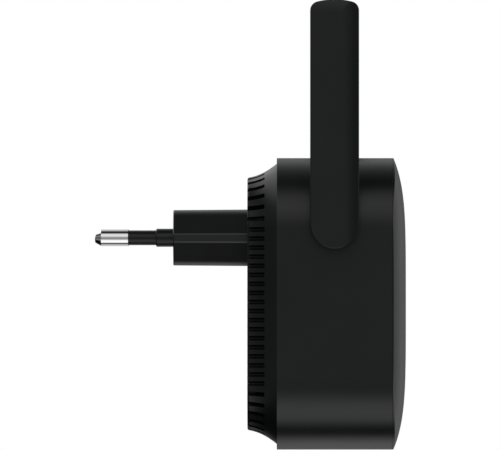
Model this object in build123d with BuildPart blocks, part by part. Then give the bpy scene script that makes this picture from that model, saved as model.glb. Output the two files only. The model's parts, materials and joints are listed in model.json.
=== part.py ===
from build123d import *
from itertools import combinations
from math import prod, sqrt
import os

# Plug-in wifi range extender with a folding antenna on each side.
#
# Frame: +Y runs into the wall socket, -Y is the front, +Z is up and -X is the left side.
# The origin is the centre of the plug's engagement face. A depth is a distance from that
# face towards the front, so a point at depth d has y = -d. Sizes are in millimetres.

# ---- Driving dimensions ----

# Body
shell_width = 60.0
shell_height = 70.6
corner_radius = 16.5
body_z = -16.0
wall = 2.2
rear_face = 18.0
rear_seam = 25.1
front_seam = 53.15
seam_bevel = 0.06

# Rear cover: how far its outside lies inside the shell's outside, as a curve over depth
flare_at_back = 4.75
flare_linear = 0.89
flare_square = 2.51
rear_wall = 2.1
rear_floor = 2.0
rear_edge_round = 0.5
lip_inset = 2.35
lip_thickness = 1.15
lip_reach = 1.6

# Vent slots
slot_width = 1.15
slot_floor = 0.3
slot_recess = 1.5
slot_pitch = 2.188
slot_drop = 0.6
slot_end = 22.16
slot_wrap = 3.0
slot_wrap_recess = 0.6
side_slots = 18
top_slots = 13
corner_slot_angles = [11 + 13 * k for k in range(6)]

# Front cover
dome_rise = 3.01
dome_edge = 0.24
dome_degree = 6
cover_pocket = 53.6
cover_lip_thickness = 1.55
cover_lip_start = 50.9

# Plug: standard two-pin 2.5 A plug
plug_width = 35.3
plug_height = 13.7
plug_flat = 2.1
plug_draft = 0.14
plug_shoulder_round = 4.5
plug_end_round = 0.9
plug_least_round = 0.3
plug_wall = 1.8
plug_front_wall = 2.5
plug_flange_grow = 1.5
plug_flange_thickness = 1.5
plug_gap = 0.1

# Pins: lean together from base to tip
pin_base_spacing = 18.6
pin_lean = 0.55
pin_length = 19.0
pin_radius = 2.0
pin_bare_from = 10.95
pin_core_radius = 1.5
pin_tail = 16.0
pin_tip = (0.85, 1.5)
pin_tip_round = 0.5
sleeve_radius = 1.8
collar_radius = 2.2
collar_length = 4.15
collar_clearance = 0.1
sleeve_tail = 6.0
pin_boss_radius = 3.4
pin_boss_length = 12.0

# Antenna hinge and antenna, measured outwards from the shell's side
hinge_depth = 39.1
hinge_z = 3.25
hinge_bore = 3.2
hinge_pad_radius = 5.4
hinge_pad_length = 3.7
barrel_radius = 3.12
barrel_bore = 1.6
barrel_inner_end = -5.5
barrel_flange_radius = 4.4
barrel_flange = 0.8
pivot_disc_radius = 5.5
pivot_gap = 0.05
antenna_gap = 0.6
antenna_width = 11.8
antenna_reach = 54.25
antenna_crown = 1.1
antenna_tip_corner = 2.2
antenna_inner_half = 2.0
antenna_outer_half = 2.6
antenna_edge_round = 1.0
antenna_face_round = 0.3
antenna_front_slope = (4.2, 1.0)
antenna_tip_slope = (3.0, 0.3)
antenna_wall = 1.1
antenna_skin = 0.8
parting_bevel = 0.12
clip_groove = (-4.9, -4.2)
clip_radius = 4.1
clip_floor = 2.6
washer_radius = 4.8
washer_thickness = 0.47

# Coax
coax_radius = 0.565
coax_split_x = -28.0
coax_split_gap = 0.1
coax_turn_x = -22.9
coax_over_board = 46.2
coax_end_x = -18.15
coax_bend = 3.4
coax_antenna_x = -32.9
coax_antenna_bend = 2.6
element_base = 12.5
element_length = 36.0
element_width = 8.0
element_height = 2.1
element_thickness = 0.8

# Case screws
case_screw_offset = 5.5
case_boss_radius = 3.0
case_boss_top = 27.0
case_rib = (1.6, 6.0)
case_lug_thickness = 2.0
case_screw_head = (2.2, 1.4)
case_screw_shank = (1.05, 7.0)

# Board screws
board_screw_head = (1.6, 1.0)
board_screw_shank = (0.8, 4.0)
board_pilot = 0.85

# Boards, by the depth of the face nearer the wall; places are from the body's centre
power_board_depth = 24.4
power_board_thickness = 1.6
power_board_size = (46.0, 41.0)
power_posts = [(-20, 7), (20, 7), (-20, -17), (20, -17)]
power_post_radius = 2.4
tray_depth = 41.0
tray_thickness = 1.2
tray_size = (42.6, 57.0)
ledge_places = [(-24, 10), (24, 10), (-24, -10), (24, -10)]
ledge_height = 6.0
ledge_thickness = 3.2
ledge_inner_x = 21.5
main_board_depth = 43.0
main_board_thickness = 1.2
main_board_size = (42.6, 56.0)
main_posts = [(-18.5, 24.5), (18.5, 24.5), (-18.5, -24.5), (18.5, -24.5)]
main_post_radius = 2.2
header_place = (0, -18)
header_pitch = 2.54
header_pins = 4

# Indicator and reset
led_place = (0, 23.3)
guide_radius = 1.2
guide_flange_radius = 2.2
guide_end = 55.95
reset_x = 8.0
reset_depth = 46.0
reset_hole = 0.75
reset_stem_radius = 1.25
reset_stem_gap = 0.05

os.makedirs("parts", exist_ok=True)

half_width = shell_width / 2
half_height = shell_height / 2
power_board_top = power_board_depth + power_board_thickness
main_board_top = main_board_depth + main_board_thickness
tray_top = tray_depth + tray_thickness
floor_inside = rear_face + rear_floor
screw_x = half_width - corner_radius + case_screw_offset
screw_z = half_height - corner_radius + case_screw_offset
case_screw_places = [(-screw_x, -screw_z), (-screw_x, screw_z), (screw_x, -screw_z), (screw_x, screw_z)]


# ---- Helpers ----


def at(depth):
    """Plane across the body at one depth, facing the front, with x right and y up."""
    return Plane.XZ.offset(depth)


def on_body(places):
    """Places given from the body's centre, moved to the frame's origin."""
    return [(x, z + body_z) for x, z in places]


def body_outline(depth, inset):
    """Rounded outline of the body, inset from the shell's outside."""
    with BuildSketch(at(depth)) as outline:
        with Locations((0, body_z)):
            RectangleRounded(shell_width - 2 * inset, shell_height - 2 * inset, corner_radius - inset)
    return outline.sketch


def flare_inset(depth):
    """How far the rear cover's outside lies inside the shell's outside."""
    along = (depth - rear_face) / (rear_seam - rear_face)
    return flare_at_back - flare_linear * along - flare_square * along**2


def flare_sections(margin, start, stop=rear_seam):
    """Outlines for a loft that follows the rear cover's flare, margin inside its outside."""
    steps = 4
    depths = [start + (stop - start) * k / steps for k in range(steps + 1)]
    return [body_outline(depth, flare_inset(depth) + margin) for depth in depths]


def plug_outline(depth, grow):
    """Six-sided outline of the plug with 45 degree shoulders, grown on every side."""
    end_x = plug_width / 2 + grow
    top = plug_height / 2 + grow
    flat = plug_flat / 2 + grow * (sqrt(2) - 1)
    shoulder = end_x - top + flat
    with BuildSketch(at(depth)) as outline:
        with BuildLine():
            Polyline(
                (end_x, -flat),
                (end_x, flat),
                (shoulder, top),
                (-shoulder, top),
                (-end_x, flat),
                (-end_x, -flat),
                (-shoulder, -top),
                (shoulder, -top),
                close=True,
            )
        make_face()
        corners = outline.vertices().group_by(Axis.X)
        fillet(corners[0] + corners[-1], radius=max(plug_end_round + grow, plug_least_round))
        corners = outline.vertices().group_by(Axis.Y)
        fillet(corners[0] + corners[-1], radius=plug_shoulder_round + grow)
    return outline.sketch


def circles(plane, radius, places=((0, 0),)):
    """Discs of one radius at places on a plane."""
    with BuildSketch(plane) as discs:
        with Locations(*places):
            Circle(radius)
    return discs.sketch


def panel(depth, size, place, round_by=0.0):
    """Rectangle on a board at a place given from the body's centre."""
    with BuildSketch(at(depth)) as sheet:
        with Locations(*on_body([place])):
            if round_by:
                RectangleRounded(*size, round_by)
            else:
                Rectangle(*size)
    return sheet.sketch


def finish(piece, label):
    """Label a finished piece and write it."""
    piece.part.label = label
    export_step(piece.part, f"parts/{label}.step")


def finish_pair(left, label):
    """Write a left-hand piece and its mirror image on the right."""
    with BuildPart() as right:
        mirror(left.part, about=Plane.YZ)
    finish(left, f"{label}_left")
    finish(right, f"{label}_right")


hinge_sides = [
    Plane(origin=(sign * half_width, -hinge_depth, hinge_z), x_dir=(0, -1, 0), z_dir=(sign, 0, 0))
    for sign in (-1, 1)
]
hinge_left = hinge_sides[0]
pin_planes = [
    Plane(
        origin=(sign * pin_base_spacing / 2, 0, 0),
        x_dir=(0, 0, 1),
        z_dir=(-sign * pin_lean, pin_length, 0),
    )
    for sign in (-1, 1)
]
pin_left = pin_planes[0]


# ---- Main shell ----

with BuildPart() as main_shell:
    extrude(body_outline(rear_seam, 0), amount=front_seam - rear_seam)
    outer_rims = main_shell.edges().group_by(Axis.Y)
    chamfer(outer_rims[0] + outer_rims[-1], length=seam_bevel)
    extrude(body_outline(rear_seam, wall), amount=front_seam - rear_seam, mode=Mode.SUBTRACT)
    # Round pads that carry the antenna hinges, flush with the flat of each side
    for side in hinge_sides:
        extrude(circles(side.offset(-hinge_pad_length), hinge_pad_radius), amount=hinge_pad_length)
    # Lugs for the case screws, reaching from the corners
    with BuildSketch(at(case_boss_top)) as lug_shapes:
        lug_middle = 7.35
        lug_length = 11.6
        for x_sign, z_sign in ((-1, -1), (-1, 1), (1, -1), (1, 1)):
            lug_x = x_sign * (half_width - corner_radius + lug_middle)
            lug_z = z_sign * (half_height - corner_radius + lug_middle) + body_z
            with Locations((lug_x, lug_z)):
                SlotOverall(lug_length, 6.0, rotation=45 * x_sign * z_sign)
    extrude(amount=case_lug_thickness)
    # Ledges that the carrier tray is screwed to
    with BuildSketch(at(tray_depth)) as ledge_shapes:
        ledge_length = half_width - wall / 2 - ledge_inner_x
        for x_sign in (-1, 1):
            with Locations(*on_body([(x_sign * (ledge_inner_x + ledge_length / 2), z) for z in (-10, 10)])):
                Rectangle(ledge_length, ledge_height)
    extrude(amount=-ledge_thickness)
    for side in hinge_sides:
        extrude(circles(side, hinge_bore), amount=-2 * hinge_pad_length, mode=Mode.SUBTRACT)
    lug_bores = circles(at(case_boss_top), 1.2, on_body(case_screw_places))
    extrude(lug_bores, amount=case_lug_thickness, mode=Mode.SUBTRACT)
    ledge_bores = circles(at(tray_depth), board_pilot, on_body(ledge_places))
    extrude(ledge_bores, amount=-ledge_thickness, mode=Mode.SUBTRACT)
    # Reset pinhole in the underside
    with BuildSketch(Plane.XY.offset(body_z - half_height)) as pinhole:
        with Locations((reset_x, -reset_depth)):
            Circle(reset_hole)
    extrude(amount=wall, mode=Mode.SUBTRACT)
finish(main_shell, "main_shell")


# ---- Rear cover ----

# Side slots are blind and narrow towards their floor; all others go through for the air.
straight_x = half_width - corner_radius
straight_z = half_height - corner_radius
slot_inner_x = half_width - flare_at_back - slot_wrap
slot_inner_z = half_height - flare_at_back - slot_wrap
slot_reach = 8.0
slot_start = rear_face - 1.0
side_slot_z = [(k - (side_slots - 1) / 2) * slot_pitch - slot_drop for k in range(side_slots)]
top_slot_x = [(k - (top_slots - 1) / 2) * slot_pitch for k in range(top_slots)]


def side_slot_section(depth):
    """Section of a side slot at one depth: straight above the cover's outside, tapered below."""
    surface = half_width - flare_inset(depth)
    mouth = slot_width / 2
    floor = slot_floor / 2
    with BuildSketch(at(depth)) as section:
        with BuildLine():
            Polyline(
                (surface + 1, -mouth),
                (surface + 1, mouth),
                (surface, mouth),
                (surface - slot_recess, floor),
                (surface - slot_recess, -floor),
                (surface, -mouth),
                close=True,
            )
        make_face()
    return section.sketch


with BuildPart() as side_slot:
    loft([side_slot_section(depth) for depth in (slot_start, (slot_start + slot_end) / 2, slot_end)])

with BuildPart() as blind_slots:
    with Locations(*[(0, 0, z + body_z) for z in side_slot_z]):
        add(side_slot.part)
    # The slots turn the corner onto the rear face
    with BuildSketch(at(slot_start)):
        with Locations(*on_body([(slot_inner_x + slot_reach / 2, z) for z in side_slot_z])):
            Rectangle(slot_reach, slot_width)
    extrude(amount=rear_face + slot_wrap_recess - slot_start)
    mirror(about=Plane.YZ)

with BuildPart() as through_slots:
    with BuildSketch(at(slot_start)):
        for z_sign in (-1, 1):
            with Locations(*on_body([(x, z_sign * (slot_inner_z + slot_reach / 2)) for x in top_slot_x])):
                Rectangle(slot_width, slot_reach)
        corner_inner = corner_radius - flare_at_back - slot_wrap
        for x_sign, z_sign in ((-1, -1), (-1, 1), (1, -1), (1, 1)):
            with Locations(*on_body([(x_sign * straight_x, z_sign * straight_z - slot_drop)])):
                for angle in corner_slot_angles:
                    turned = angle if x_sign * z_sign > 0 else -angle
                    turned = turned if x_sign > 0 else 180 + turned
                    with PolarLocations(corner_inner + slot_reach / 2, 1, start_angle=turned):
                        Rectangle(slot_reach, slot_width)
    extrude(amount=slot_end - slot_start)
    loft(flare_sections(rear_wall + 0.6, floor_inside + 0.2), mode=Mode.SUBTRACT)

with BuildPart() as rear_cover:
    loft(flare_sections(0, rear_face))
    fillet(rear_cover.edges().group_by(Axis.Y)[-1], radius=rear_edge_round)
    loft(flare_sections(rear_wall, floor_inside), mode=Mode.SUBTRACT)
    add(blind_slots.part, mode=Mode.SUBTRACT)
    add(through_slots.part, mode=Mode.SUBTRACT)
    # Lip that enters the shell
    lip_start = rear_seam - 0.8
    extrude(body_outline(lip_start, lip_inset), amount=rear_seam + lip_reach - lip_start)
    extrude(
        body_outline(lip_start, lip_inset + lip_thickness),
        amount=rear_seam + lip_reach - lip_start,
        mode=Mode.SUBTRACT,
    )
    case_bosses = circles(at(floor_inside), case_boss_radius, on_body(case_screw_places))
    extrude(case_bosses, amount=case_boss_top - floor_inside)
    # Ribs beside the bosses, which also keep light from passing straight through the corner slots
    with BuildSketch(at(floor_inside)):
        with Locations((0, body_z)):
            with GridLocations(2 * screw_x, 2 * (screw_z - case_rib[1] / 2), 2, 2):
                Rectangle(*case_rib)
    extrude(amount=power_board_depth - floor_inside - 0.4)
    case_pilots = circles(at(case_boss_top), 1.1, on_body(case_screw_places))
    extrude(case_pilots, amount=-6.2, mode=Mode.SUBTRACT)
    board_posts = circles(at(floor_inside), power_post_radius, on_body(power_posts))
    extrude(board_posts, amount=power_board_depth - floor_inside)
    board_pilots = circles(at(power_board_depth), board_pilot, on_body(power_posts))
    extrude(board_pilots, amount=-3.2, mode=Mode.SUBTRACT)
    extrude(plug_outline(rear_face, plug_gap), amount=rear_floor, mode=Mode.SUBTRACT)
finish(rear_cover, "rear_cover")


# ---- Front cover ----


def polar_value(power, degree, index):
    """Control value of t**power at one point of a Bezier curve of some degree over -1 to 1."""
    ends = [1] * index + [-1] * (degree - index)
    products = [prod(chosen) for chosen in combinations(ends, power)]
    return sum(products) / len(products)


def dome_fall(half_size, margin, index):
    """Control value of the dome's fall from its middle, a mean of fourth and sixth powers."""
    reach = (half_size + margin) / half_size
    powers = (4, dome_degree)
    return sum(reach**power * polar_value(power, dome_degree, index) for power in powers) / len(powers)


def dome_face():
    """Shallow dome over the front, a little larger than the cover."""
    margin = 1.0
    steps = range(dome_degree + 1)
    grid = []
    for column in steps:
        x = (2 * column / dome_degree - 1) * (half_width + margin)
        fall_x = dome_fall(half_width, margin, column)
        line = []
        for row in steps:
            z = (2 * row / dome_degree - 1) * (half_height + margin)
            fall = fall_x + dome_fall(half_height, margin, row)
            line.append(Vector(x, -(front_seam + dome_edge + dome_rise * (1 - fall)), z + body_z))
        grid.append(line)
    return Face.make_bezier_surface(grid)


with BuildPart() as front_cover:
    extrude(body_outline(front_seam, 0), amount=dome_rise + 2 * dome_edge)
    extrude(dome_face(), amount=2 * dome_rise, dir=(0, 1, 0), mode=Mode.INTERSECT)
    chamfer(front_cover.edges().group_by(Axis.Y)[-1], length=seam_bevel / 2)
    cover_lip_length = front_seam - cover_lip_start
    extrude(body_outline(front_seam, lip_inset), amount=-cover_lip_length)
    extrude(
        body_outline(cover_lip_start, lip_inset + cover_lip_thickness),
        amount=cover_pocket - cover_lip_start,
        mode=Mode.SUBTRACT,
    )
    guide_bore = circles(at(cover_pocket), guide_radius + 0.02, on_body([led_place]))
    extrude(guide_bore, amount=2 * dome_rise, mode=Mode.SUBTRACT)
finish(front_cover, "front_cover")

with BuildPart() as light_guide:
    led_face = main_board_top + 1.3
    extrude(circles(at(led_face), guide_radius, on_body([led_place])), amount=guide_end - led_face)
    guide_flange = circles(at(cover_pocket), guide_flange_radius, on_body([led_place]))
    extrude(guide_flange, amount=-1.2)
finish(light_guide, "light_guide")


# ---- Plug body, pins and sleeves ----

with BuildPart() as plug_body:
    loft([plug_outline(0, -plug_draft), plug_outline(rear_face, 0)])
    fillet(plug_body.edges().group_by(Axis.Y)[-1], radius=0.25)
    extrude(plug_outline(rear_face, 0), amount=rear_floor)
    extrude(plug_outline(floor_inside, plug_flange_grow), amount=plug_flange_thickness)
    hollow = floor_inside + plug_flange_thickness - plug_front_wall
    extrude(plug_outline(plug_front_wall, -plug_wall), amount=hollow, mode=Mode.SUBTRACT)
    for pin_plane in pin_planes:
        extrude(circles(pin_plane.offset(-pin_boss_length), pin_boss_radius), amount=pin_boss_length - 1)
    for pin_plane in pin_planes:
        sleeve_bore = circles(pin_plane.offset(-sleeve_tail), collar_radius + collar_clearance)
        extrude(sleeve_bore, amount=sleeve_tail + 1, mode=Mode.SUBTRACT)
        core_bore = circles(pin_plane.offset(-pin_boss_length), pin_core_radius + 0.05)
        extrude(core_bore, amount=pin_boss_length, mode=Mode.SUBTRACT)
finish(plug_body, "plug_body")

with BuildPart() as plug_pin:
    extrude(circles(pin_left.offset(-pin_tail), pin_core_radius), amount=pin_tail + pin_bare_from)
    extrude(circles(pin_left.offset(pin_bare_from), pin_radius), amount=pin_length - pin_bare_from)
    pin_end = plug_pin.faces().sort_by(Axis.Y)[-1]
    chamfer(pin_end.edges(), length=pin_tip[0], length2=pin_tip[1], reference=pin_end)
    fillet(plug_pin.faces().sort_by(Axis.Y)[-1].edges(), radius=pin_tip_round)
finish_pair(plug_pin, "plug_pin")

with BuildPart() as pin_sleeve:
    extrude(circles(pin_left.offset(-sleeve_tail), collar_radius), amount=sleeve_tail + collar_length)
    fillet(pin_sleeve.edges().sort_by(Axis.Y)[-1:], radius=0.25)
    extrude(circles(pin_left, sleeve_radius), amount=pin_bare_from)
    sleeve_hole = circles(pin_left.offset(-sleeve_tail), pin_core_radius + 0.02)
    extrude(sleeve_hole, amount=sleeve_tail + pin_bare_from, mode=Mode.SUBTRACT)
finish_pair(pin_sleeve, "pin_sleeve")

# Leaf spring soldered to the power board that presses on the pin's tail
with BuildPart() as mains_contact:
    with BuildSketch(Plane.XY.offset(-2)):
        with BuildLine():
            FilletPolyline((-12, -16.35), (-7.6, -16.35), (-5.4, -24.15), (-2.4, -24.15), radius=0.9)
        trace(line_width=0.4)
    extrude(amount=4)
finish_pair(mains_contact, "mains_contact")


# ---- Power board and its components ----

with BuildPart() as power_board:
    extrude(panel(power_board_depth, power_board_size, (0, 0), 1.5), amount=power_board_thickness)
    power_holes = circles(at(power_board_depth), 1.0, on_body(power_posts))
    extrude(power_holes, amount=power_board_thickness, mode=Mode.SUBTRACT)
finish(power_board, "power_board")

transformer_place = (-9, -6)
core_size = (17.0, 16.0)
core_leg = 4.4
core_window = 3.6
core_yoke = 2.6
winding_depth = 12.2

with BuildPart() as transformer_core:
    core_front = power_board_top + winding_depth / 2 - 2.8
    extrude(panel(core_front, core_size, transformer_place, 0.4), amount=6)
    with BuildSketch(at(core_front)):
        window_x = (core_leg + core_window) / 2
        windows = [(transformer_place[0] + s * window_x, transformer_place[1]) for s in (-1, 1)]
        with Locations(*on_body(windows)):
            Rectangle(core_window, core_size[1] - 2 * core_yoke)
    extrude(amount=6, mode=Mode.SUBTRACT)
finish(transformer_core, "transformer_core")

with BuildPart() as transformer_winding:
    winding_start = power_board_top + 0.2
    winding_size = (core_leg + 2 * core_window - 0.4, core_size[1] - 2 * core_yoke - 0.4)
    extrude(panel(winding_start, winding_size, transformer_place), amount=winding_depth)
    fillet(transformer_winding.edges().filter_by(Axis.Z), radius=1.5)
    extrude(
        panel(core_front - 0.1, (core_leg + 0.2, 2 * core_size[1]), transformer_place),
        amount=6.2,
        mode=Mode.SUBTRACT,
    )
finish(transformer_winding, "transformer_winding")

with BuildPart() as bulk_capacitors:
    cans = circles(at(power_board_top), 4.0, on_body([(8, 12), (16.5, 12)]))
    extrude(cans, amount=13)
    fillet(bulk_capacitors.edges().group_by(Axis.Y)[0], radius=0.6)
finish(bulk_capacitors, "bulk_capacitors")

with BuildPart() as output_capacitor:
    extrude(circles(at(power_board_top), 3.2, on_body([(13, -11)])), amount=10)
    fillet(output_capacitor.edges().group_by(Axis.Y)[0], radius=0.5)
finish(output_capacitor, "output_capacitor")

with BuildPart() as fuse:
    with BuildSketch(Plane.YZ.offset(-16)):
        with Locations((-(power_board_top + 1.7), body_z + 12)):
            Circle(1.5)
    extrude(amount=8)
    fillet(fuse.edges().group_by(Axis.X)[0] + fuse.edges().group_by(Axis.X)[-1], radius=0.4)
finish(fuse, "fuse")

with BuildPart() as y_capacitor:
    with BuildSketch(Plane.YZ.offset(4)):
        with Locations((-(power_board_top + 4.2), body_z + 2)):
            Circle(3.4)
    extrude(amount=2.6)
    rims = y_capacitor.edges().group_by(Axis.X)
    fillet(rims[0] + rims[-1], radius=0.9)
finish(y_capacitor, "y_capacitor")

with BuildPart() as bridge_rectifier:
    extrude(panel(power_board_top, (4.8, 4.0), (-2.5, 12), 0.3), amount=2.6)
finish(bridge_rectifier, "bridge_rectifier")

with BuildPart() as optocoupler:
    extrude(panel(power_board_top, (4.6, 6.5), (5.5, -8), 0.3), amount=3.6)
finish(optocoupler, "optocoupler")

with BuildPart() as output_diode:
    extrude(panel(power_board_top, (4.6, 2.8), (12, -3.5), 0.3), amount=2.3)
finish(output_diode, "output_diode")


def leaded_chip(depth, size, place, thickness, leads):
    """Add a small chip body with rows of leads on two sides to the open part."""
    extrude(panel(depth + 0.1, size, place, 0.2), amount=thickness)
    lead_x = [(k - (leads - 1) / 2) * size[0] / leads for k in range(leads)]
    rows = [(place[0] + x, place[1] + s * (size[1] + 0.7) / 2) for x in lead_x for s in (-1, 1)]
    with BuildSketch(at(depth)) as feet:
        with Locations(*on_body(rows)):
            Rectangle(0.4, 0.9)
    extrude(feet.sketch, amount=thickness / 2)


with BuildPart() as power_controller:
    leaded_chip(power_board_top, (4.9, 3.9), (-13, 6.5), 1.5, 4)
finish(power_controller, "power_controller")

# Pins that carry the low voltage through the tray to the main board
with BuildPart() as board_connector:
    extrude(panel(power_board_top, (12.0, 3.6), header_place), amount=10)
    with BuildSketch(at(power_board_top)):
        with Locations(*on_body([header_place])):
            with GridLocations(header_pitch, 1, header_pins, 1):
                Rectangle(0.7, 0.7)
    extrude(amount=main_board_depth - power_board_top)
finish(board_connector, "board_connector")


# ---- Carrier tray and main board ----

with BuildPart() as carrier_tray:
    with BuildSketch(at(tray_depth)):
        with Locations((0, body_z)):
            RectangleRounded(*tray_size, 6)
            with GridLocations(48, 20, 2, 2):
                RectangleRounded(7, 5.6, 1.5)
        with Locations(*on_body([header_place])):
            Rectangle(14, 5.6, mode=Mode.SUBTRACT)
    extrude(amount=tray_thickness)
    post_bottom = tray_depth - 1.4
    posts = circles(at(post_bottom), main_post_radius, on_body(main_posts))
    extrude(posts, amount=main_board_depth - post_bottom)
    extrude(circles(at(post_bottom), board_pilot, on_body(main_posts)), amount=5, mode=Mode.SUBTRACT)
    extrude(circles(at(tray_depth), 1.0, on_body(ledge_places)), amount=tray_thickness, mode=Mode.SUBTRACT)
finish(carrier_tray, "carrier_tray")

with BuildPart() as main_board:
    extrude(panel(main_board_depth, main_board_size, (0, 0), 2), amount=main_board_thickness)
    main_holes = circles(at(main_board_depth), 1.0, on_body(main_posts))
    extrude(main_holes, amount=main_board_thickness, mode=Mode.SUBTRACT)
finish(main_board, "main_board")

chip_place = (4, 6)
with BuildPart() as wifi_chip:
    extrude(panel(main_board_top, (10, 10), chip_place, 0.3), amount=0.9)
finish(wifi_chip, "wifi_chip")

with BuildPart() as thermal_pad:
    extrude(panel(main_board_top + 0.9, (10, 10), chip_place), amount=0.8)
finish(thermal_pad, "thermal_pad")

with BuildPart() as heat_spreader:
    spreader_depth = main_board_top + 1.7
    extrude(panel(spreader_depth, (30, 17), chip_place, 1), amount=1.2)
    with BuildSketch(at(main_board_top)):
        with Locations(*on_body([chip_place])):
            with GridLocations(27, 14, 2, 2):
                Circle(1.0)
    extrude(amount=1.8)
finish(heat_spreader, "heat_spreader")

with BuildPart() as rf_shield:
    shield_place = (-9, -12)
    extrude(panel(main_board_top, (18, 14), shield_place, 0.6), amount=2.4)
    extrude(panel(main_board_top, (17.4, 13.4), shield_place, 0.3), amount=2.1, mode=Mode.SUBTRACT)
    with BuildSketch(at(main_board_top + 2.4)):
        with Locations(*on_body([shield_place])):
            with GridLocations(3, 3, 5, 3):
                Circle(0.5)
    extrude(amount=-1, mode=Mode.SUBTRACT)
finish(rf_shield, "rf_shield")

with BuildPart() as flash_chip:
    leaded_chip(main_board_top, (5.2, 5.2), (10, -14), 1.6, 4)
finish(flash_chip, "flash_chip")

with BuildPart() as crystal:
    extrude(panel(main_board_top, (3.2, 2.5), (12, -6.5), 0.4), amount=0.8)
finish(crystal, "crystal")

with BuildPart() as status_led:
    extrude(panel(main_board_top, (2.0, 1.25), led_place), amount=0.6)
    extrude(circles(at(main_board_top + 0.6), 0.5, on_body([led_place])), amount=0.5)
    fillet(status_led.edges().group_by(Axis.Y)[0], radius=0.3)
finish(status_led, "status_led")

switch_edge = body_z - main_board_size[1] / 2 + 0.4
switch_size = (6.0, 4.4)
stem_inside = 2.0
stem_outside = 4.7

with BuildPart() as reset_switch:
    with BuildSketch(Plane.XY.offset(switch_edge)):
        with Locations((reset_x, -reset_depth)):
            Rectangle(switch_size[0], 2 * (reset_depth - main_board_top))
    extrude(amount=switch_size[1])
    with BuildSketch(Plane.XY.offset(switch_edge)):
        with Locations((reset_x, -reset_depth)):
            Circle(reset_stem_radius + reset_stem_gap)
    extrude(amount=stem_inside + 0.6, mode=Mode.SUBTRACT)
finish(reset_switch, "reset_switch")

with BuildPart() as reset_plunger:
    with BuildSketch(Plane.XY.offset(switch_edge - stem_outside)):
        with Locations((reset_x, -reset_depth)):
            Circle(reset_stem_radius)
    extrude(amount=stem_outside + stem_inside)
    chamfer(reset_plunger.edges().group_by(Axis.Z)[0], length=0.25)
finish(reset_plunger, "reset_plunger")


# ---- Screws ----


def cross_head_screws(depth, places, head, shank):
    """Add screws to the open part, each head in front of the depth and its shank behind."""
    extrude(circles(at(depth), head[0], places), amount=head[1])
    extrude(circles(at(depth), shank[0], places), amount=-shank[1])
    with BuildSketch(at(depth + head[1])) as crosses:
        with Locations(*places):
            Rectangle(1.3 * head[0], 0.25 * head[0])
            Rectangle(0.25 * head[0], 1.3 * head[0])
    extrude(crosses.sketch, amount=-head[1] / 2, mode=Mode.SUBTRACT)


with BuildPart() as case_screws:
    lug_front = case_boss_top + case_lug_thickness
    cross_head_screws(lug_front, on_body(case_screw_places), case_screw_head, case_screw_shank)
finish(case_screws, "case_screws")

with BuildPart() as board_screws:
    cross_head_screws(power_board_top, on_body(power_posts), board_screw_head, board_screw_shank)
    cross_head_screws(tray_top, on_body(ledge_places), board_screw_head, board_screw_shank)
    cross_head_screws(main_board_top, on_body(main_posts), board_screw_head, board_screw_shank)
finish(board_screws, "board_screws")


# ---- Antennas ----


def antenna_outline(height, inset):
    """Outline of the antenna at one distance out from the shell, inset from its edge."""
    half = antenna_width / 2 - inset
    tip = antenna_reach - inset
    shoulder = tip - antenna_crown
    with BuildSketch(hinge_left.offset(height)) as outline:
        with BuildLine():
            Line((-half, 0), (-half, shoulder))
            ThreePointArc((-half, shoulder), (0, tip), (half, shoulder))
            Line((half, shoulder), (half, 0))
            ThreePointArc((half, 0), (0, -half), (-half, 0))
        make_face()
        fillet(outline.vertices().group_by(Axis.Y)[-1], radius=antenna_tip_corner - inset)
    return outline.sketch


antenna_parting = antenna_gap + antenna_inner_half

with BuildPart() as antenna_base:
    extrude(antenna_outline(antenna_gap, 0), amount=antenna_inner_half)
    fillet(antenna_base.edges().group_by(Axis.X)[-1], radius=antenna_edge_round)
    chamfer(antenna_base.edges().group_by(Axis.X)[0], length=parting_bevel)
    disc = circles(hinge_left.offset(pivot_gap), pivot_disc_radius)
    extrude(disc, amount=antenna_gap + antenna_skin - pivot_gap)
    extrude(
        antenna_outline(antenna_gap + antenna_skin, antenna_wall),
        amount=antenna_inner_half,
        mode=Mode.SUBTRACT,
    )
    # Ribs that hold the printed element off the floor
    with BuildSketch(hinge_left.offset(antenna_gap + antenna_skin)):
        with Locations((0, element_base + 4), (0, element_base + element_length - 4)):
            Rectangle(2 * (antenna_width / 2 - antenna_wall), 1.2)
    extrude(amount=element_height - antenna_gap - antenna_skin)
    extrude(circles(hinge_left, barrel_radius + 0.02), amount=2, mode=Mode.SUBTRACT)
finish_pair(antenna_base, "antenna_base")

antenna_face = -(half_width + antenna_parting + antenna_outer_half)


def slope_section(plane, end, way, run, fall):
    """Section that trims the antenna's outer face, with an arc that falls away up to its end."""
    start = end - way * run
    with BuildSketch(plane) as section:
        with BuildLine():
            slope = TangentArc((antenna_face, start), (antenna_face + fall, end), tangent=(0, way))
            Polyline(slope @ 1, (antenna_face - 1, end + way), (antenna_face - 1, start), slope @ 0)
        make_face()
    return section.sketch


with BuildPart() as antenna_cover:
    extrude(antenna_outline(antenna_parting, 0), amount=antenna_outer_half)
    # The outer face slopes away gently towards the front and the tip
    front_edge = -(hinge_depth + antenna_width / 2)
    front_slope = slope_section(Plane.XY.offset(-antenna_reach), front_edge, -1, *antenna_front_slope)
    extrude(front_slope, amount=3 * antenna_reach, mode=Mode.SUBTRACT)
    tip_slope = slope_section(at(hinge_depth - antenna_width), hinge_z + antenna_reach, 1, *antenna_tip_slope)
    extrude(tip_slope, amount=2 * antenna_width, mode=Mode.SUBTRACT)
    wall_lean = 0.01
    walls = antenna_cover.faces().filter_by(lambda face: abs(face.normal_at().X) < wall_lean)
    rim_x = -(half_width + antenna_parting) - 1
    rim = [edge for edge in walls.edges() if edge.bounding_box().max.X < rim_x]
    fillet(rim, radius=antenna_face_round)
    chamfer(antenna_cover.edges().group_by(Axis.X)[-1], length=parting_bevel)
    extrude(
        antenna_outline(antenna_parting, antenna_wall),
        amount=antenna_outer_half - antenna_skin,
        mode=Mode.SUBTRACT,
    )
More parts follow.
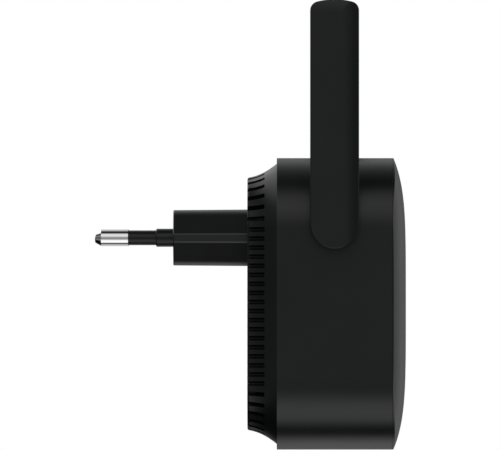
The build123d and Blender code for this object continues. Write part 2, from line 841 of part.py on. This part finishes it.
finish_pair(antenna_cover, "antenna_cover")

with BuildPart() as hinge_barrel:
    barrel_seat = antenna_gap + antenna_skin
    barrel = circles(hinge_left.offset(barrel_inner_end), barrel_radius)
    extrude(barrel, amount=barrel_seat - barrel_inner_end)
    extrude(circles(hinge_left.offset(barrel_seat), barrel_flange_radius), amount=barrel_flange)
    chamfer(hinge_barrel.edges().group_by(Axis.X)[-1], length=0.3)
    with BuildSketch(hinge_left.offset(clip_groove[0])):
        Circle(barrel_radius + 1)
        Circle(clip_floor, mode=Mode.SUBTRACT)
    extrude(amount=clip_groove[1] - clip_groove[0], mode=Mode.SUBTRACT)
    barrel_hole = circles(hinge_left.offset(barrel_inner_end), barrel_bore)
    extrude(barrel_hole, amount=barrel_seat + barrel_flange - barrel_inner_end, mode=Mode.SUBTRACT)
finish_pair(hinge_barrel, "hinge_barrel")

with BuildPart() as friction_washer:
    with BuildSketch(hinge_left.offset(-hinge_pad_length)):
        Circle(washer_radius)
        Circle(hinge_bore, mode=Mode.SUBTRACT)
    extrude(amount=-washer_thickness)
finish_pair(friction_washer, "friction_washer")

with BuildPart() as retaining_clip:
    with BuildSketch(hinge_left.offset(clip_groove[0] + 0.05)):
        Circle(clip_radius)
        Circle(clip_floor + 0.02, mode=Mode.SUBTRACT)
        with Locations((0, -clip_radius)):
            Rectangle(3.2, 2 * clip_radius, mode=Mode.SUBTRACT)
    extrude(amount=clip_groove[1] - clip_groove[0] - 0.1)
finish_pair(retaining_clip, "retaining_clip")

with BuildPart() as antenna_element:
    with BuildSketch(hinge_left.offset(element_height)):
        with Locations((0, element_base + element_length / 2)):
            Rectangle(element_width, element_length)
    extrude(amount=element_thickness)
finish_pair(antenna_element, "antenna_element")


# ---- Coax leads ----


def coax(route, bends):
    """Add a coax lead along a route of straight runs and arcs to the open part, and check it."""
    with BuildLine() as path:
        FilletPolyline(*route, radius=bends)
    with BuildSketch(Plane(origin=path.line @ 0, z_dir=path.line % 0)) as section:
        Circle(coax_radius)
    tube = sweep(section.sketch, path=path.line)
    length = sum(edge.length for edge in path.edges())
    ratio = tube.volume / (section.sketch.area * length)
    print(f"coax {length:.2f} mm long, bends {bends} mm, volume {ratio:.4f} of section times length")


with BuildPart() as antenna_coax:
    coax(
        [
            (coax_split_x - coax_split_gap / 2, -hinge_depth, hinge_z),
            (coax_antenna_x, -hinge_depth, hinge_z),
            (coax_antenna_x, -hinge_depth, hinge_z + element_base),
        ],
        coax_antenna_bend,
    )
finish_pair(antenna_coax, "antenna_coax")

with BuildPart() as coax_lead:
    coax(
        [
            (coax_split_x + coax_split_gap / 2, -hinge_depth, hinge_z),
            (coax_turn_x, -hinge_depth, hinge_z),
            (coax_turn_x, -coax_over_board, hinge_z),
            (coax_end_x, -coax_over_board, hinge_z),
        ],
        coax_bend,
    )
finish_pair(coax_lead, "coax_lead")

with BuildPart() as coax_connector:
    connector_place = (-16.5, hinge_z - body_z)
    connector_spot = on_body([connector_place])
    cap_base = coax_over_board - 0.7
    extrude(panel(main_board_top, (2.6, 2.6), connector_place), amount=0.4)
    extrude(circles(at(main_board_top), 1.0, connector_spot), amount=cap_base - main_board_top)
    extrude(circles(at(cap_base), 1.6, connector_spot), amount=1.4)
finish_pair(coax_connector, "coax_connector")
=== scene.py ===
import json
import math

import bpy
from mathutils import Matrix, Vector


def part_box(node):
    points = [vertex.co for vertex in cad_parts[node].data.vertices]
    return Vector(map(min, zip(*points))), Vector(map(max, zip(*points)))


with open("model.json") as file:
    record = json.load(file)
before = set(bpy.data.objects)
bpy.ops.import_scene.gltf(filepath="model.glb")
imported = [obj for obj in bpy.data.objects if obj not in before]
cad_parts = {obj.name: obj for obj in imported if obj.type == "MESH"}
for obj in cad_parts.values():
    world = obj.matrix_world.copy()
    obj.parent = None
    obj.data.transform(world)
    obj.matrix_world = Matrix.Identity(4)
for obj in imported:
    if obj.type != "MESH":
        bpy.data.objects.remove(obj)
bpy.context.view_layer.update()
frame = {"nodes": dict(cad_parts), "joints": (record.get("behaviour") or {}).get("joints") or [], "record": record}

MM = 0.001
scene = bpy.context.scene
nodes = frame["nodes"]
joints = {joint["name"]: joint for joint in frame["joints"]}


# ---- Camera: a side view from the left, far off with a long lens ----

SENSOR = 36.0
VIEW_WIDTH = 120.6 * MM
VIEW_DISTANCE = 4.0
CLIP_START = 0.1
CLIP_END = 20

hinge = Vector(joints["antenna_left_hinge"]["pos_m"])
shell_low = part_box("main_shell")[0]
antenna_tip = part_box("antenna_cover_left")[1].z
cover_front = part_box("front_cover")[0].y
pin_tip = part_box("plug_pin_left")[1].y


def add_camera():
    """Level with the middle of the part and square on to the antenna, so that the far one stays hidden."""
    data = bpy.data.cameras.new("camera")
    camera = bpy.data.objects.new("camera", data)
    scene.collection.objects.link(camera)
    data.sensor_width = SENSOR
    data.lens = SENSOR * VIEW_DISTANCE / VIEW_WIDTH
    data.clip_start = CLIP_START
    data.clip_end = CLIP_END
    middle = Vector((shell_low.x, (cover_front + pin_tip) / 2, (shell_low.z + antenna_tip) / 2))
    camera.location = Vector((shell_low.x - VIEW_DISTANCE, hinge.y, middle.z))
    camera.rotation_mode = "QUATERNION"
    camera.rotation_quaternion = (middle - camera.location).to_track_quat("-Z", "Y")
    scene.camera = camera


add_camera()


# ---- Light: long soft strips beside the part, and a pale floor below ----

# Brightness of the strips by their angle about the Y axis, in degrees: 0 is level on the left,
# where the camera is, 90 is overhead, -90 is straight down and 180 is level on the far side.
STRIPS = [
    (-180, 0.22),
    (-155, 0.3),
    (-142, 0.5),
    (-129, 0.95),
    (-115, 0.9),
    (-99, 0.02),
    (-90, 0.03),
    (-82, 0.16),
    (-76, 0.4),
    (-66, 1.05),
    (-40, 1.05),
    (-25, 0.5),
    (-17, 0.27),
    (3, 0.26),
    (12, 0.5),
    (30, 0.8),
    (48, 0.75),
    (60, 0.34),
    (72, 0.0),
    (82, 0.0),
    (94, 0.08),
    (106, 0.18),
    (122, 0.28),
    (150, 0.28),
    (180, 0.2),
]
# Place of level on the left along the colour ramp that holds the strips; a full turn fills the ramp
RAMP_MIDDLE = 0.5
# The strips fade towards both their ends: offsets along Y of full and faded light, and the faded share
STRIP_FULL = 0.1
STRIP_FADED = 0.7
STRIP_END = 0.25
# Each lobe is a soft light far away: direction, half angle in degrees, softness and brightness.
LOBES = [
    ("front", (0.6, -0.8, 0.0), 27, 14, 0.41),
    ("front_above", (0.0, -0.86, 0.5), 18, 14, 0.8),
    ("back", (0.6, 0.62, 0.5), 34, 12, 1.0),
]
# Below the back the surroundings are dark: direction, half angle, softness and the share of light kept
SHADE = ((0.35, 0.7, -0.6), 38, 14, 0.03)
WHITE = (1, 1, 1, 1)

# The floor: how far it lies below the shell, half its width, its paint and its own glow
FLOOR_DROP = 150 * MM
FLOOR_HALF = 1.5
FLOOR_PAINT = (0.86, 0.86, 0.85, 1)
FLOOR_ROUGHNESS = 0.8
FLOOR_GLOW = 0.4


def world_math(tree, operation, first, second=None):
    """Math node on one or two values or outputs."""
    node = tree.nodes.new("ShaderNodeMath")
    node.operation = operation
    for socket, value in zip(node.inputs, (first, second)):
        if isinstance(value, (int, float)):
            socket.default_value = value
        elif value is not None:
            tree.links.new(value, socket)
    return node.outputs["Value"]


def ease(tree, value, start, stop, low, high):
    """Smooth step of a value from low to high."""
    node = tree.nodes.new("ShaderNodeMapRange")
    node.interpolation_type = "SMOOTHSTEP"
    for name, number in (("From Min", start), ("From Max", stop), ("To Min", low), ("To Max", high)):
        node.inputs[name].default_value = number
    tree.links.new(value, node.inputs["Value"])
    return node.outputs["Result"]


def strip_light(tree, direction):
    """Brightness of the strips in a direction."""
    split = tree.nodes.new("ShaderNodeSeparateXYZ")
    tree.links.new(direction, split.inputs["Vector"])
    leftward = world_math(tree, "MULTIPLY", split.outputs["X"], -1.0)
    angle = world_math(tree, "ARCTAN2", split.outputs["Z"], leftward)
    turn = world_math(tree, "MULTIPLY_ADD", angle, 1 / math.tau)
    turn.node.inputs[2].default_value = RAMP_MIDDLE
    ramp = tree.nodes.new("ShaderNodeValToRGB")
    tree.links.new(turn, ramp.inputs["Fac"])
    stops = ramp.color_ramp.elements
    stops_of_new_ramp = len(stops)
    for number, (degrees, brightness) in enumerate(STRIPS):
        place = RAMP_MIDDLE + degrees / 360
        if number < stops_of_new_ramp:
            stop = stops[number]
            stop.position = place
        else:
            stop = stops.new(place)
        stop.color = (brightness, brightness, brightness, 1)
    aside = world_math(tree, "ABSOLUTE", split.outputs["Y"])
    fade = ease(tree, aside, STRIP_FULL, STRIP_FADED, 1.0, STRIP_END)
    return world_math(tree, "MULTIPLY", ramp.outputs["Color"], fade)


def around(tree, direction, toward, half_angle, softness, outside, inside):
    """Value that goes softly from outside to inside within an angle of one direction."""
    dot = tree.nodes.new("ShaderNodeVectorMath")
    dot.operation = "DOT_PRODUCT"
    dot.inputs[1].default_value = Vector(toward).normalized()
    tree.links.new(direction, dot.inputs[0])
    edge = math.cos(math.radians(half_angle + softness))
    core = math.cos(math.radians(half_angle - softness))
    return ease(tree, dot.outputs["Value"], edge, core, outside, inside)


def lobe_light(tree, direction, name, toward, half_angle, softness, strength):
    """Brightness of one lobe in a direction."""
    light = around(tree, direction, toward, half_angle, softness, 0.0, strength)
    light.node.label = name
    return light


def add_world():
    """White where the camera sees it directly; elsewhere the strips and lobes."""
    world = bpy.data.worlds.new("studio")
    scene.world = world
    world.use_nodes = True
    tree = world.node_tree
    tree.nodes.clear()
    direction = tree.nodes.new("ShaderNodeTexCoord").outputs["Generated"]
    total = strip_light(tree, direction)
    for lobe in LOBES:
        total = world_math(tree, "ADD", total, lobe_light(tree, direction, *lobe))
    *shade_place, kept_share = SHADE
    total = world_math(tree, "MULTIPLY", total, around(tree, direction, *shade_place, 1.0, kept_share))
    light = tree.nodes.new("ShaderNodeBackground")
    tree.links.new(total, light.inputs["Strength"])
    light.inputs["Color"].default_value = WHITE
    white = tree.nodes.new("ShaderNodeBackground")
    white.inputs["Color"].default_value = WHITE
    mix = tree.nodes.new("ShaderNodeMixShader")
    path = tree.nodes.new("ShaderNodeLightPath")
    tree.links.new(path.outputs["Is Camera Ray"], mix.inputs["Fac"])
    tree.links.new(light.outputs["Background"], mix.inputs[1])
    tree.links.new(white.outputs["Background"], mix.inputs[2])
    out = tree.nodes.new("ShaderNodeOutputWorld")
    tree.links.new(mix.outputs["Shader"], out.inputs["Surface"])


def add_floor():
    """Pale floor seen only from above, and not reflected in the part."""
    z = shell_low.z - FLOOR_DROP
    mesh = bpy.data.meshes.new("floor")
    corners = [(x * FLOOR_HALF, y * FLOOR_HALF, z) for x, y in ((-1, -1), (1, -1), (1, 1), (-1, 1))]
    mesh.from_pydata(corners, [], [(0, 1, 2, 3)])
    floor = bpy.data.objects.new("floor", mesh)
    scene.collection.objects.link(floor)
    floor.visible_glossy = False
    floor.visible_diffuse = False
    material = bpy.data.materials.new("floor_paint")
    material.use_nodes = True
    tree = material.node_tree
    shader = tree.nodes["Principled BSDF"]
    shader.inputs["Base Color"].default_value = FLOOR_PAINT
    shader.inputs["Roughness"].default_value = FLOOR_ROUGHNESS
    shader.inputs["Emission Color"].default_value = WHITE
    shader.inputs["Emission Strength"].default_value = FLOOR_GLOW
    clear = tree.nodes.new("ShaderNodeBsdfTransparent")
    facing = tree.nodes.new("ShaderNodeNewGeometry")
    mix = tree.nodes.new("ShaderNodeMixShader")
    tree.links.new(facing.outputs["Backfacing"], mix.inputs["Fac"])
    tree.links.new(shader.outputs["BSDF"], mix.inputs[1])
    tree.links.new(clear.outputs["BSDF"], mix.inputs[2])
    tree.links.new(mix.outputs["Shader"], tree.nodes["Material Output"].inputs["Surface"])
    mesh.materials.append(material)


add_world()
add_floor()
scene.view_settings.view_transform = "Standard"


# ---- Materials: noise scales are per metre, and bump depths in metres ----

SPECULAR = 0.5
NOISE_RANGE = (0.25, 0.75)

# Moulded plastic: flow patches, how far they change colour and gloss, and the pits' look
PATCH_SCALE = 60
PATCH_DETAIL = 3
PATCH_LIGHT = 1.25
PATCH_DARK = 0.8
PATCH_GLOSS = 0.03
PIT_DETAIL = 2
PIT_ROUGHNESS = 0.6
PIT_STRENGTH = 0.35
FINE_PITS = 5000
COARSE_PITS = 3000
OUTER_PIT_DEPTH = 0.012 * MM
PLUG_PIT_DEPTH = 0.01 * MM
SLEEVE_PIT_DEPTH = 0.006 * MM
INNER_PIT_DEPTH = 0.01 * MM

# Metal: polishing marks, and the range of gloss across them
MARK_SCALE = 4000
MARK_DETAIL = 4
MARK_GLOSS = (0.8, 1.25)
MARK_STRENGTH = 0.1
MARK_DEPTH = 0.005 * MM


def new_material(name, colour, roughness, metallic=0.0, specular=SPECULAR):
    """Principled material of one colour and roughness."""
    material = bpy.data.materials.new(name)
    material.use_nodes = True
    shader = material.node_tree.nodes["Principled BSDF"]
    shader.inputs["Base Color"].default_value = (*colour, 1)
    shader.inputs["Roughness"].default_value = roughness
    shader.inputs["Metallic"].default_value = metallic
    shader.inputs["Specular IOR Level"].default_value = specular
    return material


def noise(tree, scale, detail, roughness=0.5):
    """Noise texture in object space."""
    texture = tree.nodes.new("ShaderNodeTexNoise")
    texture.inputs["Scale"].default_value = scale
    texture.inputs["Detail"].default_value = detail
    texture.inputs["Roughness"].default_value = roughness
    coordinates = tree.nodes.new("ShaderNodeTexCoord")
    tree.links.new(coordinates.outputs["Object"], texture.inputs["Vector"])
    return texture.outputs["Fac"]


def vary(tree, value, low, high):
    """Map a noise's usual values onto a range."""
    ramp = tree.nodes.new("ShaderNodeMapRange")
    ramp.inputs["From Min"].default_value, ramp.inputs["From Max"].default_value = NOISE_RANGE
    ramp.inputs["To Min"].default_value = low
    ramp.inputs["To Max"].default_value = high
    tree.links.new(value, ramp.inputs["Value"])
    return ramp.outputs["Result"]


def mix_colours(tree, value, dark, light):
    """Blend two colours by a value."""
    mix = tree.nodes.new("ShaderNodeMix")
    mix.data_type = "RGBA"
    mix.inputs["A"].default_value = (*dark, 1)
    mix.inputs["B"].default_value = (*light, 1)
    tree.links.new(value, mix.inputs["Factor"])
    return mix.outputs["Result"]


def bump(tree, height, strength, distance):
    """Bump the shader's normal by a height."""
    node = tree.nodes.new("ShaderNodeBump")
    node.inputs["Strength"].default_value = strength
    node.inputs["Distance"].default_value = distance
    tree.links.new(height, node.inputs["Height"])
    tree.links.new(node.outputs["Normal"], tree.nodes["Principled BSDF"].inputs["Normal"])


def moulded_plastic(name, colour, roughness, pit_scale, pit_depth, specular=SPECULAR):
    """Plastic from a spark-eroded mould: fine pits, faint flow patches and uneven gloss."""
    material = new_material(name, colour, roughness, specular=specular)
    tree = material.node_tree
    shader = tree.nodes["Principled BSDF"]
    patches = noise(tree, PATCH_SCALE, PATCH_DETAIL)
    light = tuple(c * PATCH_LIGHT for c in colour)
    dark = tuple(c * PATCH_DARK for c in colour)
    tree.links.new(mix_colours(tree, patches, dark, light), shader.inputs["Base Color"])
    gloss = vary(tree, patches, roughness - PATCH_GLOSS, roughness + PATCH_GLOSS)
    tree.links.new(gloss, shader.inputs["Roughness"])
    bump(tree, noise(tree, pit_scale, PIT_DETAIL, PIT_ROUGHNESS), PIT_STRENGTH, pit_depth)
    return material


def metal(name, colour, roughness):
    """Metal with fine polishing marks."""
    material = new_material(name, colour, roughness, metallic=1.0)
    tree = material.node_tree
    marks = noise(tree, MARK_SCALE, MARK_DETAIL)
    smooth, rough = (roughness * share for share in MARK_GLOSS)
    gloss = vary(tree, marks, smooth, rough)
    tree.links.new(gloss, tree.nodes["Principled BSDF"].inputs["Roughness"])
    bump(tree, marks, MARK_STRENGTH, MARK_DEPTH)
    return material


def plain_finish(name, colour, roughness):
    """Plain surface with coarser pits than the casing's."""
    return moulded_plastic(name, colour, roughness, COARSE_PITS, INNER_PIT_DEPTH)


BLACK = (0.0114, 0.014, 0.013)
# Black mouldings outside: roughness, scale and depth of the pits, specular level
MOULDINGS = {
    "shell_black": (0.3, FINE_PITS, OUTER_PIT_DEPTH, SPECULAR),
    "front_black": (0.32, FINE_PITS, OUTER_PIT_DEPTH, SPECULAR),
    "rear_black": (0.36, FINE_PITS, OUTER_PIT_DEPTH, SPECULAR),
    "antenna_black": (0.32, FINE_PITS, OUTER_PIT_DEPTH, SPECULAR),
    "plug_black": (0.3, FINE_PITS, PLUG_PIT_DEPTH, 0.65),
    "sleeve_black": (0.28, COARSE_PITS, SLEEVE_PIT_DEPTH, 0.4),
}
# Metals: colour and roughness
METALS = {
    "pin_nickel": ((0.95, 0.95, 0.955), 0.05),
    "spring_bronze": ((0.6, 0.36, 0.16), 0.3),
    "hinge_steel": ((0.5, 0.5, 0.52), 0.3),
    "screw_steel": ((0.45, 0.45, 0.47), 0.35),
    "spreader_aluminium": ((0.7, 0.7, 0.71), 0.4),
    "shield_tin": ((0.62, 0.62, 0.6), 0.35),
    "crystal_can": ((0.65, 0.63, 0.58), 0.3),
    "coax_gold": ((0.8, 0.55, 0.2), 0.25),
}
# Other pieces, nearly all of them inside: colour and roughness
OTHER_PIECES = {
    "board_green": ((0.01, 0.09, 0.04), 0.35),
    "board_black": ((0.015, 0.015, 0.017), 0.4),
    "chip_black": ((0.02, 0.02, 0.022), 0.5),
    "ferrite_grey": ((0.03, 0.03, 0.032), 0.6),
    "winding_tape": ((0.6, 0.42, 0.02), 0.25),
    "capacitor_sleeve": ((0.015, 0.015, 0.03), 0.3),
    "ceramic_blue": ((0.02, 0.1, 0.4), 0.3),
    "fuse_brown": ((0.08, 0.03, 0.015), 0.3),
    "header_black": ((0.02, 0.02, 0.02), 0.45),
    "tray_grey": ((0.12, 0.12, 0.13), 0.5),
    "pad_grey": ((0.2, 0.22, 0.25), 0.8),
    "led_clear": ((0.75, 0.75, 0.65), 0.15),
    "guide_smoke": ((0.11, 0.11, 0.12), 0.12),
    "switch_black": ((0.02, 0.02, 0.02), 0.45),
    "plunger_grey": ((0.1, 0.1, 0.1), 0.4),
    "coax_jacket": ((0.015, 0.015, 0.015), 0.45),
}
materials = {name: moulded_plastic(name, BLACK, *finish) for name, finish in MOULDINGS.items()}
materials.update({name: metal(name, *finish) for name, finish in METALS.items()})
materials.update({name: plain_finish(name, *finish) for name, finish in OTHER_PIECES.items()})

SHARP_ANGLE = math.radians(28)


def dress(node, slot):
    """Give a CAD node its material and smooth its curved faces."""
    piece = nodes[node]
    for material_slot in piece.material_slots:
        material_slot.material = materials[slot]
    bpy.ops.object.select_all(action="DESELECT")
    piece.select_set(True)
    bpy.context.view_layer.objects.active = piece
    bpy.ops.object.shade_smooth_by_angle(angle=SHARP_ANGLE, keep_sharp_edges=False)


for entry in frame["record"]["subparts"]:
    dress(entry["node"], entry["material_slot"])
